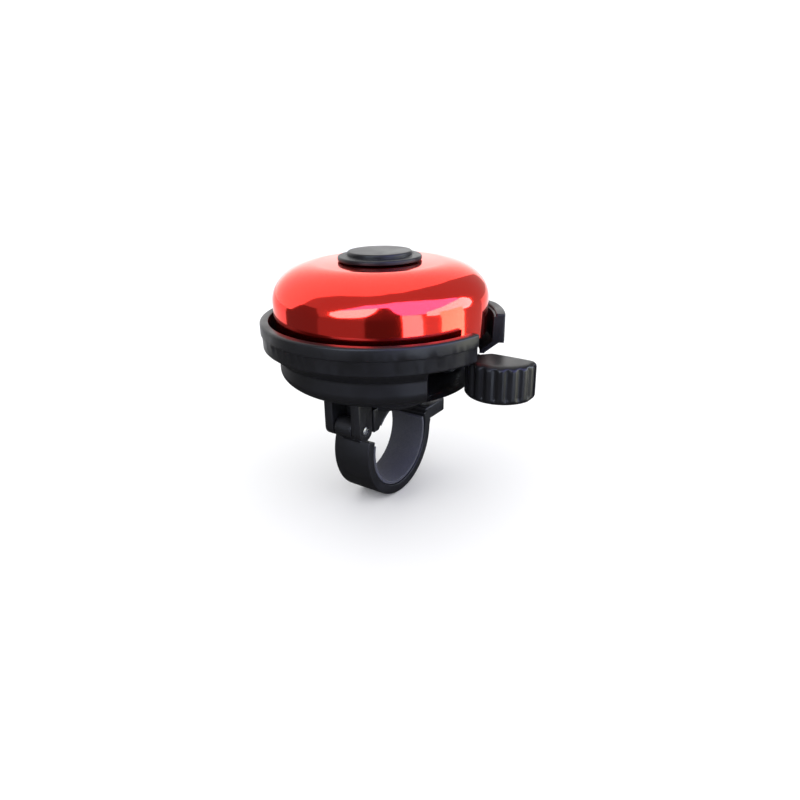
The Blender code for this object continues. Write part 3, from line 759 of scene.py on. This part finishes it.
def tooth_points(teeth, centre_deg):
    """Both flanks of one involute tooth, from root to tip and back."""
    flank_steps = 6
    pitch_r = MODULE * teeth / 2
    base_r = pitch_r * math.cos(PRESSURE_ANGLE)
    tip_r = pitch_r + ADDENDUM * MODULE
    root_r = pitch_r - DEDENDUM * MODULE
    thickness = math.pi * MODULE / 2 - BACKLASH
    start_r = max(base_r, root_r)

    def half_angle(radius):
        pressure = math.acos(min(1.0, base_r / radius))
        return thickness / 2 / pitch_r + involute(PRESSURE_ANGLE) - involute(pressure)

    radii = [start_r + (tip_r - start_r) * i / flank_steps for i in range(flank_steps + 1)]
    flank = [(radius, half_angle(radius)) for radius in radii]
    if root_r < start_r:
        flank.insert(0, (root_r, half_angle(start_r)))
    centre = math.radians(centre_deg)
    rising = [(r * math.cos(centre - a), r * math.sin(centre - a)) for r, a in flank]
    falling = [(r * math.cos(centre + a), r * math.sin(centre + a)) for r, a in reversed(flank)]
    return rising + falling


def gear_outline(teeth, first_deg):
    points = []
    for i in range(teeth):
        points += tooth_points(teeth, first_deg + 360.0 * i / teeth)
    return points


def idler_gear():
    """Compound moulded gear with a thinned web and six lightening holes in its wheel."""
    pinion_deg = SECTOR_MESH_DEG + 180.0 + 180.0 / IDLER_PINION_TEETH
    pinion = plate("pinion", [gear_outline(IDLER_PINION_TEETH, pinion_deg)], 21.0, 25.4, at=IDLER)
    wheel = plate("idler_gear", [gear_outline(IDLER_WHEEL_TEETH, ROTOR_MESH_DEG)], 25.2, 27.0,
                  at=IDLER)
    recess = turned("recess", [(2.6, 28.0), (7.2, 28.0), (7.2, 26.5), (2.6, 26.5)], IDLER,
                    ring=True)
    holes = [cylinder(1.1, 24.0, 28.0, polar(5.6, 30.0 + 60.0 * i, IDLER), sides=COARSE)
             for i in range(6)]
    gear = cut(join(wheel, pinion), cylinder(1.1, 20.0, 28.0, IDLER, sides=COARSE), recess, *holes)
    return stands_for(gear, "idler_gear")


def idler_pin():
    profile = rounded([(0, 28.2), (1.0, 28.2, 0.2), (1.0, 27.75), (0.75, 27.75), (0.75, 27.25),
                       (1.0, 27.25), (1.0, 17.3, 0.2), (0, 17.3)])
    return stands_for(turned("idler_pin", profile, IDLER, steps=COARSE), "idler_pin")


def idler_clip():
    outline = arc(2.1, 40, 320, 40) + arc(0.88, 320, 40, 30)
    return stands_for(plate("idler_clip", [outline], 27.3, 27.7, at=IDLER), "idler_clip")


def rotor_pinion():
    first_deg = ROTOR_MESH_DEG + 180.0 + 180.0 / ROTOR_PINION_TEETH
    teeth = plate("rotor_pinion", [gear_outline(ROTOR_PINION_TEETH, first_deg)], 25.1, 27.3)
    hub = cylinder(3.9, 27.1, 28.55)
    drive = box((-2.6, -2.6, 28.3), (2.6, 2.6, 30.75), STRIKER_DEG)
    gear = cut(join(teeth, hub, drive), cylinder(2.1, 24.0, 32.0))
    return stands_for(gear, "rotor_pinion")


def striker_plate():
    side = math.degrees(math.asin(3.6 / 6.5))
    half = arc(3.6, -90, 90, 32, centre=(HAMMER_R, 0.0)) + arc(6.5, side, 180 - side, 24)
    outline = half + [(-x, -y) for x, y in half]
    square = [(-2.75, -2.75), (2.75, -2.75), (2.75, 2.75), (-2.75, 2.75)]
    holes = [circle(1.4, (x, 0.0)) for x in (HAMMER_R, -HAMMER_R)]
    low, high = cad_box("striker_plate")
    obj = plate("striker_plate", [outline, square, *holes], low.z, high.z, edge=0.12)
    obj.rotation_euler.z = math.radians(STRIKER_DEG)
    return stands_for(obj, "striker_plate")


def hammer_place(side):
    return polar(HAMMER_R, STRIKER_DEG + (0.0 if side == "a" else 180.0))


def hammer_pin(side):
    profile = rounded([
        (0, 35.7), (3.2, 35.7, 0.35), (3.2, 34.75, 0.1), (1.5, 34.75), (1.5, 31.7),
        (3.2, 31.7, 0.1), (3.2, 30.4, 0.1), (1.25, 30.4), (1.25, 28.55), (2.1, 28.55, 0.1),
        (2.1, 28.0, 0.4), (0, 28.0)])
    pin = turned("hammer_pin", profile, hammer_place(side), steps=COARSE + 16)
    return stands_for(pin, "hammer_pin_" + side)


def hammer_washer(side):
    profile = rounded([(2.4, 34.4, 0.12), (5.6, 34.4, 0.25), (5.6, 31.9, 0.25),
                       (2.4, 31.9, 0.12)], closed=True)
    disc = turned("hammer_washer", profile, hammer_place(side), ring=True)
    return stands_for(disc, "hammer_washer_" + side)


# --- lever ---
def lever_plate():
    hub_x, hub_y = LEVER_PIVOT
    step = 360.0 / SECTOR_TEETH
    teeth = []
    for i in range(-4, 2):
        teeth += tooth_points(SECTOR_TEETH, SECTOR_MESH_DEG + i * step)
    arm = [(24.5, 6.6), (26.7, 6.6), (26.7, 1.1), (33.9, 1.1), (33.9, 6.6), (29.5, 10.0)]
    arm = [(x - hub_x, y - hub_y) for x, y in arm]
    outline = teeth + arc(4.2, 215, 255, 10) + arm + arc(4.2, 65, 105, 10)
    obj = plate("lever_plate", [outline, circle(2.1)], PLATE_LOW.z, PLATE_HIGH.z, at=LEVER_PIVOT)
    return stands_for(obj, "lever_plate")


def evenly_spaced(points, count):
    """Points at equal steps along a closed outline."""
    loop = [Vector(p) for p in points]
    loop.append(loop[0])
    lengths = [(b - a).length for a, b in zip(loop, loop[1:])]
    step = sum(lengths) / count
    result, index, start = [], 0, 0.0
    for k in range(count):
        while start + lengths[index] < k * step:
            start += lengths[index]
            index += 1
        share = (k * step - start) / lengths[index]
        result.append(loop[index].lerp(loop[index + 1], share))
    return result


def pad_outline(count):
    """D with rounded back corners, its inner one cut away, as points and outward normals."""
    back = PAD_HIGH.y
    edge_deg = math.degrees(math.asin((back - PAD_CENTRE[1]) / PAD_R))
    corners = arc(PAD_R, 207, 330 + edge_deg, 120, centre=PAD_CENTRE)
    corners += [(*polar(PAD_R, 360 + edge_deg, PAD_CENTRE), 2.8), (28.6, back, 2.0),
                (*polar(PAD_R, 200, PAD_CENTRE), 1.2)]
    points = evenly_spaced(rounded(corners, closed=True, steps=10), count)
    normals = []
    for k in range(count):
        along = (points[(k + 1) % count] - points[k - 1]).normalized()
        normals.append(Vector((along.y, -along.x)))
    return points, normals


def groove_depth(point):
    """Depth of the grip grooves round the pad's front: rounded valleys and broad ridges."""
    turn = math.degrees(math.atan2(point.y - PAD_CENTRE[1], point.x - PAD_CENTRE[0])) % 360.0
    phase = (turn - GROOVE_START_DEG) / GROOVE_STEP_DEG
    if phase < -0.5 or phase > GROOVES - 0.5:
        return 0.0
    return GROOVE_DEPTH * (0.5 + 0.5 * math.cos(2 * math.pi * phase)) ** 1.7


def pad_levels():
    """Height, how far the outline is moved in and the grooves' share, from bottom to top."""
    low, high = PAD_LOW.z, PAD_HIGH.z
    bottom_r, shoulder_r, shoulder_drop = 1.3, 1.6, 1.2
    quarter = [math.radians(90.0 * i / 8) for i in range(9)]
    levels = [(low + bottom_r * (1 - math.sin(a)), bottom_r * (1 - math.cos(a)))
              for a in quarter[::-1]]
    side = high - shoulder_drop
    levels += [(low + bottom_r + (side - low - bottom_r) * i / 24, 0.0) for i in range(1, 24)]
    levels += [(side + shoulder_drop * math.sin(a), shoulder_r * (1 - math.cos(a)))
               for a in quarter]
    top_fade, bottom_fade = 0.7, 1.2
    return [(z, inset, min(1.0, max(0.0, (high - 0.3 - z) / top_fade),
                           max(0.0, (z - low - 0.3) / bottom_fade))) for z, inset in levels]


def thumb_pad():
    """Lofted D-shaped pad: ribs round the front, soft edges and a crowned top."""
    count = 360
    points, normals = pad_outline(count)
    depths = [groove_depth(p) for p in points]
    shape = bmesh.new()
    rings = []
    for z, inset, share in pad_levels():
        loop = [p - n * (inset + share * d) for p, n, d in zip(points, normals, depths)]
        rings.append(place_ring(shape, loop, z, 1.0))
    bottom, top = rings[0], rings[-1]
    for share in (0.82, 0.6, 0.38, 0.18):
        rings.insert(0, place_ring(shape, [v.co.xy / MM for v in bottom], PAD_LOW.z, share))
        rings.append(place_ring(shape, [v.co.xy / MM for v in top], PAD_HIGH.z, share))
    loft(shape, rings)
    close_ring(shape, rings[0], True)
    close_ring(shape, rings[-1], False)
    for vert in shape.verts:
        crown_pad_top(vert)
    body = object_of(shape, "thumb_pad")
    shaded(body.data, 60.0)
    pocket = box((26.4, 0.8, PLATE_LOW.z - 0.2), (34.2, 8.0, PLATE_HIGH.z + 0.2))
    body = cut(body, pocket)
    shaded(body.data, 50.0)
    return stands_for(body, "thumb_pad")


def place_ring(shape, loop, z, share):
    """Ring of points at one height, drawn in towards the pad's middle."""
    middle = Vector(PAD_MIDDLE)
    return [shape.verts.new((*(middle.lerp(p, share) * MM), z * MM)) for p in loop]


def close_ring(shape, ring, flip):
    centre = sum((v.co for v in ring), Vector()) / len(ring)
    middle = shape.verts.new(centre)
    for k, vert in enumerate(ring):
        after = ring[(k + 1) % len(ring)]
        shape.faces.new((after, vert, middle) if flip else (vert, after, middle))


def crown_pad_top(vert):
    """Lower the pad's top a little towards its edges."""
    x, y, z = vert.co / MM
    height = (z - PAD_LOW.z) / (PAD_HIGH.z - PAD_LOW.z)
    offset = ((x - PAD_MIDDLE[0]) ** 2 + (y - PAD_MIDDLE[1]) ** 2) / PAD_R ** 2
    vert.co.z -= 0.15 * offset * MM * max(0.0, height) ** 2


def lever_pivot_screw():
    x, y = LEVER_PIVOT
    profile = rounded([(0, 25.3), (2.6, 25.3, 0.4), (3.4, 24.9, 0.3), (3.4, 24.1, 0.1),
                       (2.0, 24.1), (2.0, 21.35, 0.1), (1.2, 21.35), (1.2, 18.3, 0.3),
                       (0.5, 17.9, 0.1), (0, 17.9)])
    screw = turned("lever_pivot_screw", profile, LEVER_PIVOT)
    cross = [box((-2.0, -0.35, 24.5), (2.0, 0.35, 26.0), turn, (x, y)) for turn in (20, 110)]
    return stands_for(cut(screw, *cross), "lever_pivot_screw")


def lever_return_spring():
    """Torsion spring: a leg to the housing's peg, two turns, and a leg hooked up into the arm."""
    hook_r = 0.6
    start, end = polar(SPRING_R, SPRING_START_DEG), polar(SPRING_R, SPRING_END_DEG)
    fixed_leg = Vector(polar(1.0, SPRING_START_DEG - 90.0))
    lever_leg = Vector(polar(1.0, SPRING_END_DEG + 90.0))
    points = [(start[0] + fixed_leg.x * SPRING_FIXED_LEG,
               start[1] + fixed_leg.y * SPRING_FIXED_LEG, SPRING_Z[0])]
    coils = 120
    for i in range(coils + 1):
        turn = SPRING_START_DEG + (SPRING_END_DEG - SPRING_START_DEG) * i / coils
        height = SPRING_Z[0] + (SPRING_Z[1] - SPRING_Z[0]) * i / coils
        points.append((*polar(SPRING_R, turn), height))
    tip = Vector((end[0] + lever_leg.x * SPRING_LEVER_LEG,
                  end[1] + lever_leg.y * SPRING_LEVER_LEG))
    for i in range(7):
        bend = math.radians(15.0 * i)
        back = hook_r * (1 - math.sin(bend))
        points.append((tip.x - lever_leg.x * back, tip.y - lever_leg.y * back,
                       SPRING_Z[1] + hook_r * (1 - math.cos(bend))))
    points.append((tip.x, tip.y, PLATE_HIGH.z - 0.2))
    spring = wire("lever_return_spring", points, SPRING_WIRE / 2, LEVER_PIVOT)
    stands_for(spring, "lever_return_spring", rides=False)
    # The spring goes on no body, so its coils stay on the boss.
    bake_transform(spring)


def wire(name, points, radius, at):
    curve = bpy.data.curves.new(name, "CURVE")
    curve.dimensions = "3D"
    curve.bevel_depth = radius * MM
    curve.bevel_resolution = 4
    curve.use_fill_caps = True
    spline = curve.splines.new("POLY")
    spline.points.add(len(points) - 1)
    for point, (x, y, z) in zip(spline.points, points):
        point.co = (x * MM, y * MM, z * MM, 1.0)
    obj = add_object(name, curve)
    obj.location = (at[0] * MM, at[1] * MM, 0.0)
    return baked(obj, 60.0)


# --- handlebar clamp ---
def clamp_band():
    half = BAND_HIGH.x
    inner, outer = 12.3, 14.8
    outline = rounded(arc(inner, 160, 378, 110) + arc(outer, 378, 160, 110), closed=True)
    strap = plate("clamp_band", [outline], -half, half, across=True)
    neck = [polar(12.45, 163), polar(12.45, 156), (-14.2, 10.2), (-17.2, 7.0), polar(14.7, 163)]
    neck = plate("neck", [neck], -HINGE_KNUCKLE_HALF, HINGE_KNUCKLE_HALF, across=True)
    knuckle = cylinder(HINGE_KNUCKLE_R, -HINGE_KNUCKLE_HALF, HINGE_KNUCKLE_HALF,
                       (HINGE_Y, HINGE_Z), axis="X")
    lug = box((-half, 12.9, 1.0), (half, BAND_HIGH.y, 5.0), round_r=0.5)
    slot = plate("slot", [arc(1.85, -180, 0, 20, centre=(0.0, SCREW_Y - 0.3))
                          + arc(1.85, 0, 180, 20, centre=(0.0, SCREW_Y + 0.9))], -1.0, 7.0)
    bore = cylinder(1.15, -8.0, 8.0, (HINGE_Y, HINGE_Z), axis="X", sides=COARSE)
    band = cut(join(strap, neck, knuckle, lug), bore, slot)
    return stands_for(softened(band, 0.28, segments=3), "clamp_band")


def band_liner():
    outline = arc(12.1, 166, 374, 110) + arc(BAR_R + 0.1, 374, 166, 110)
    liner = plate("band_liner", [outline], -RUBBER_HALF, RUBBER_HALF, across=True)
    return stands_for(softened(liner, 0.12, sharp_deg=50.0), "band_liner")


def band_hinge_pin():
    low, high = cad_box("band_hinge_pin")
    pin = baked(cylinder(HINGE_PIN_R, low.x, high.x, (HINGE_Y, HINGE_Z), axis="X", sides=COARSE))
    return stands_for(softened(pin, 0.15, sharp_deg=50.0), "band_hinge_pin")


def clamp_screw():
    """Cross-recessed pan head on a threaded shank."""
    head = rounded([(0, 0.05), (2.8, 0.05, 0.1), (2.8, -1.0, 0.6), (2.1, -2.1, 0.8),
                    (0, -2.2)], steps=8)
    head = turned("clamp_screw", head, (0.0, SCREW_Y))
    cross = [box((-1.8, SCREW_Y - 0.35, -3.0), (1.8, SCREW_Y + 0.35, -1.0)),
             box((-0.35, SCREW_Y - 1.8, -3.0), (0.35, SCREW_Y + 1.8, -1.0))]
    head = cut(head, *cross)
    shank = threaded_rod("shank", 1.49, 1.24, 0.5, -0.4, 12.9, (0.0, SCREW_Y))
    return stands_for(join(head, shank), "clamp_screw")


# --- stage ---
STAGE_MIDDLE = Vector((0.0, 0.0, 0.04))
LAMP_DISTANCE, LAMP_SIZE, LAMP_BRIGHTNESS = 0.6, 0.3, 1.5
WORLD_BRIGHTNESS = 1.15
FLOOR_HALF = 30.0
FLOOR_GAP, MAT_GAP = 0.0002, 0.0001    # how far they lie below the clamp's lowest point
# Colours of the glowing cards and mats that paint reflections in the dome.
WHITE, COOL, WARM, BLUISH = (1.0, 1.0, 1.0), (0.75, 0.85, 1.0), (1.0, 1.0, 0.8), (0.34, 0.34, 1.0)


def floor():
    """Pale floor, just below the lowest point of the clamp."""
    shape = bmesh.new()
    bmesh.ops.create_grid(shape, x_segments=1, y_segments=1, size=FLOOR_HALF)
    obj = object_of(shape, "floor")
    obj.location.z = CAD_BOUNDS[0].z - FLOOR_GAP
    surface = Surface("floor", (0.90, 0.90, 0.90), 0.8)
    surface.bump(surface.noise(180.0, 3.0), 0.05, 0.1)
    obj.data.materials.append(surface.material)


def direction(azimuth, elevation):
    """Unit vector, with the azimuth from +X towards +Y."""
    turn, rise = math.radians(azimuth), math.radians(elevation)
    return Vector((math.cos(rise) * math.cos(turn), math.cos(rise) * math.sin(turn),
                   math.sin(rise)))


def softbox(name, azimuth, elevation):
    """Square lamp that faces the bell and doesn't show in it."""
    light = bpy.data.lights.new(name, "AREA")
    light.size = LAMP_SIZE
    light.energy = LAMP_BRIGHTNESS * math.pi * LAMP_SIZE * LAMP_SIZE
    obj = add_object(name, light)
    away = direction(azimuth, elevation)
    obj.location = STAGE_MIDDLE + away * LAMP_DISTANCE
    obj.rotation_euler = (-away).to_track_quat("-Z", "Y").to_euler()
    obj.visible_camera = obj.visible_glossy = False


def card(name, distance, sections, brightness, colour=WHITE):
    """Bent card round the bell that glows and shows only in reflections, a painted reflection;
    each section is an azimuth with its lowest and highest angle.
    """
    columns, rows = 10, 24
    shape = bmesh.new()
    grid = []
    for (turn_a, low_a, high_a), (turn_b, low_b, high_b) in zip(sections, sections[1:]):
        for i in range(columns):
            t = i / columns
            turn = turn_a + (turn_b - turn_a) * t
            low, high = low_a + (low_b - low_a) * t, high_a + (high_b - high_a) * t
            grid.append((turn, low, high))
    grid.append(sections[-1])
    lines = [[shape.verts.new(direction(turn, low + (high - low) * j / rows) * distance)
              for j in range(rows + 1)] for turn, low, high in grid]
    sheet(shape, lines)
    reflected_only(name, shape, STAGE_MIDDLE, brightness, colour)


def mat(name, azimuths, radii, brightness, colour=WHITE):
    """Piece of a ring that lies on the floor round the bell, glows and shows only in reflections:
    a painted reflection of the floor.
    """
    shape = bmesh.new()
    lines = []
    for i in range(25):
        out = direction(azimuths[0] + (azimuths[1] - azimuths[0]) * i / 24, 0.0)
        lines.append([shape.verts.new(out * radius) for radius in radii])
    sheet(shape, lines)
    place = Vector((0.0, 0.0, CAD_BOUNDS[0].z - MAT_GAP))
    reflected_only(name, shape, place, brightness, colour)


def sheet(shape, lines):
    for line, after in zip(lines, lines[1:]):
        for j in range(len(line) - 1):
            shape.faces.new((line[j], after[j], after[j + 1], line[j + 1]))


def reflected_only(name, shape, place, brightness, colour):
    """Finish a card or a mat: it glows and shows only in reflections, where it paints a highlight
    or a dark reflection.
    """
    obj = object_of(shape, name)
    obj.location = place
    obj.visible_camera = obj.visible_diffuse = obj.visible_shadow = False
    obj.visible_transmission = obj.visible_volume_scatter = False
    surface = Surface(name, (0.0, 0.0, 0.0), 1.0)
    surface.set("Specular IOR Level", 0.0)
    surface.set("Emission Color", (*colour, 1.0)).set("Emission Strength", brightness)
    obj.data.materials.append(surface.material)


def world():
    studio = bpy.data.worlds.new("studio")
    studio.use_nodes = True
    studio.node_tree.nodes["Background"].inputs["Color"].default_value = (1.0, 1.0, 1.0, 1.0)
    studio.node_tree.nodes["Background"].inputs["Strength"].default_value = WORLD_BRIGHTNESS
    bpy.context.scene.world = studio


def painted_reflections():
    """Painted reflections for the polished dome: glowing cards and mats, seen only in reflections,
    standing for a bright sky and a darker room with windows and shade.

    Azimuths run past 360 where a card passes +X. The mats carry the cards' colours on over
    the floor, so that no pale gap shows between the two.
    """
    # Bright cards paint highlights in the dome; dim ones paint its darker reflections.
    card("sky", 3.0, [(0, -3, 90), (360, -3, 90)], 1.9)
    card("room", 2.0, [(216, -30, 44), (226, -30, 62), (250, -30, 71), (286, -30, 77),
                       (346, -30, 82), (406, -30, 72), (426, -30, 62), (446, -30, 42),
                       (460, -30, 12)], 0.58)
    card("blue_window", 1.5, [(262, 12, 26), (286, 10, 46), (326, 8, 54), (346, 8, 52),
                              (366, 5, 46), (396, 5, 30), (410, 5, 14)], 9.0, BLUISH)
    card("left_window", 1.3, [(253, 7, 16), (262, 1, 25), (284, 6, 34), (302, 18, 38)], 12.0, COOL)
    card("right_window", 1.3, [(352, 0, 12), (366, -4, 17), (386, -8, 23), (404, -6, 24),
                               (412, 4, 14)], 12.0, COOL)
    # A dark card that paints a dark column in the dome's reflection.
    card("dark_panel", 1.0, [(290, -30, 8), (298, -30, 22), (303, -30, 38), (315, -30, 38),
                             (319, -30, 22), (326, -30, 10)], 0.12)
    card("left_wall", 0.9, [(196, -30, -6), (206, -30, 2), (216, -30, 20), (236, -30, 20),
                            (242, -30, 2)], 0.20)
    card("low_wall", 1.1, [(240, -30, -1), (292, -30, -1)], 0.36)
    card("door", 0.8, [(326, -30, 10), (346, -30, 6)], 7.5, COOL)
    card("path", 1.1, [(366, -30, 6), (396, -30, 6)], 7.0, WARM)
    # Mats that paint the floor's reflection in the dome in bright and dark bands.
    inner, outer = 0.13, 3.0
    mat("mat", (0, 360), (0.0, inner), 0.05)
    mat("left_shade", (196, 242), (inner, outer), 0.20)
    mat("low_shade", (242, 290), (inner, outer), 0.36)
    mat("dark_panel_shade", (290, 326), (inner, outer), 0.10)
    mat("door_light", (326, 346), (inner, outer), 7.5, COOL)
    mat("middle_shade", (346, 366), (inner, outer), 0.90)
    mat("path_light", (366, 396), (inner, outer), 7.0, WARM)
    mat("right_shade", (396, 430), (inner, outer), 0.65)


def lights():
    softbox("left_softbox", 250.0, 40.0)
    softbox("right_softbox", 350.0, 45.0)


CAMERA_PLACE, CAMERA_AIM = (93.58, -128.80, 74.25), (7.46, -3.09, 13.37)
CAMERA_ROLL_DEG = -0.932
CAMERA_LENS, CAMERA_SENSOR = 28.71, 36.0


def camera():
    """Close view: 36 degrees towards the grip from square on, 14 degrees up."""
    data = bpy.data.cameras.new("camera")
    data.lens = CAMERA_LENS
    data.sensor_width = CAMERA_SENSOR
    data.clip_start, data.clip_end = 0.01, 20.0
    obj = add_object("camera", data)
    obj.location = Vector(CAMERA_PLACE) * MM
    aim = Vector(CAMERA_AIM) * MM
    level = (aim - obj.location).to_track_quat("-Z", "Y")
    roll = Matrix.Rotation(math.radians(CAMERA_ROLL_DEG), 3, "Z").to_quaternion()
    obj.rotation_mode = "QUATERNION"
    obj.rotation_quaternion = level @ roll
    bpy.context.scene.camera = obj
    bpy.context.scene.view_settings.view_transform = "Standard"


def build():
    base_housing()
    saddle_pad()
    center_post()
    washer("thrust_washer", 2.15, 3.4, 24.5, 24.95)
    hex_nut("rotor_nut", 7.0, 1.9, 31.0, 33.2, (0.0, 0.0))
    dome_spacer()
    washer("dome_washer_lower", 3.75, 6.6, 46.35, 46.95)
    dome()
    washer("dome_washer_upper", 3.75, 7.0, 48.25, 48.75)
    cap_nut()
    lever_plate()
    thumb_pad()
    lever_pivot_screw()
    washer("lever_washer", 2.15, 3.6, 23.65, 23.95, LEVER_PIVOT)
    lever_return_spring()
    idler_gear()
    idler_pin()
    idler_clip()
    rotor_pinion()
    striker_plate()
    for side in ("a", "b"):
        hammer_pin(side)
        hammer_washer(side)
    clamp_band()
    band_liner()
    band_hinge_pin()
    clamp_screw()
    washer("clamp_washer", 1.65, 3.2, 0.25, 0.75, (0.0, SCREW_Y))
    hex_nut("clamp_nut", 5.5, 1.6, 9.9, 12.1, (0.0, SCREW_Y))


build()
floor()
world()
painted_reflections()
lights()
camera()
